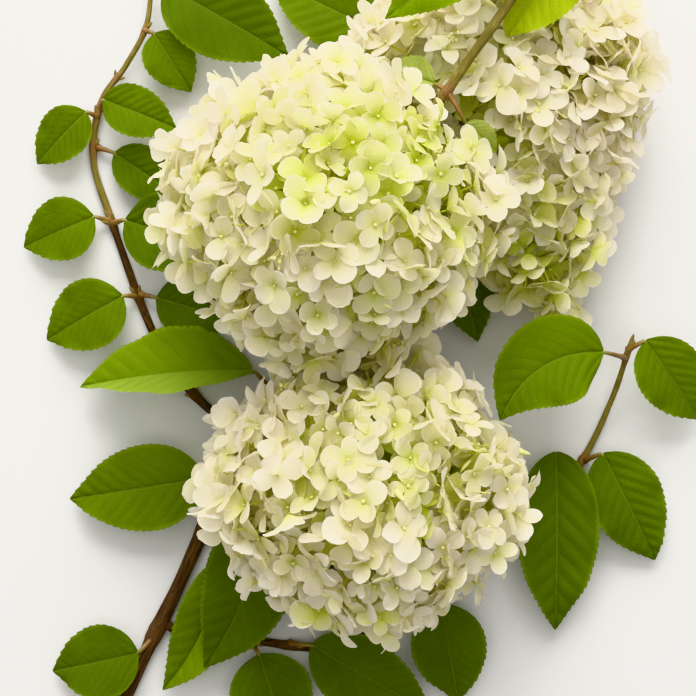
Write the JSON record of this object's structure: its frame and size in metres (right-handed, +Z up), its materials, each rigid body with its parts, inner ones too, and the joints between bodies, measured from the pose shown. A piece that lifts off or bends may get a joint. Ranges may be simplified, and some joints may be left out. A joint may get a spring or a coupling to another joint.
{
  "type": "cut flowering branch of panicle hydrangea",
  "caption": "Cut branch of panicle hydrangea lying on its side, with dense rounded and conical cream-lime flower heads and toothed green leaves.",
  "frame": {"origin": "on the surface that the branch lies on, under the middle of its outline in plan", "axes": "+Z up from the surface, +Y from the cut end of the old wood towards the far end where the boughs arch over, +X to the side where the leafy right shoot ends"},
  "size_m": [0.3511, 0.4534, 0.1624],
  "materials": {
    "old_bark": "thin brown bark with fine ridges and small pale pores, matt",
    "young_bark": "greenish grey-brown young bark, satin",
    "leaf_blade": "soft green leaf with sunken veins and a fine sheen",
    "sepals": "velvety cream sepals, lime green towards the middle of each head"
  },
  "bodies": {
    "root": {"main_branch": "old_bark", "arch_bough": "old_bark", "third_bough": "young_bark", "upper_bough": "young_bark", "lower_bough": "young_bark", "right_shoot": "old_bark", "right_shoot_tip": "young_bark", "left_shoot": "old_bark", "left_shoot_tip": "young_bark", "leaf_left_mid": "leaf_blade", "leaf_bough_left": "leaf_blade", "leaf_bough_right": "leaf_blade", "leaf_arch_left": "leaf_blade", "leaf_arch_right": "leaf_blade", "leaf_right_mid": "leaf_blade", "leaf_right_low": "leaf_blade", "leaf_right_edge": "leaf_blade", "leaf_right_end": "leaf_blade", "leaf_bottom_right": "leaf_blade", "leaf_bottom_mid": "leaf_blade", "leaf_bottom_left": "leaf_blade", "leaf_base_left": "leaf_blade", "leaf_low_left_front": "leaf_blade", "leaf_low_left_back": "leaf_blade", "leaf_left_low": "leaf_blade", "leaf_top_left": "leaf_blade", "leaf_top_left_small": "leaf_blade", "leaf_left_upper": "leaf_blade", "leaf_left_outer": "leaf_blade", "leaf_left_deep": "leaf_blade", "leaf_left_back": "leaf_blade", "leaf_left_far": "leaf_blade", "leaf_left_inner": "leaf_blade", "leaf_left_back_outer": "leaf_blade", "leaf_gap": "leaf_blade", "leaf_top_mid": "leaf_blade", "leaf_fork": "leaf_blade", "bloom_upper": "sepals", "bloom_lower": "sepals", "bloom_third": "sepals"}
  },
  "joints": []
}
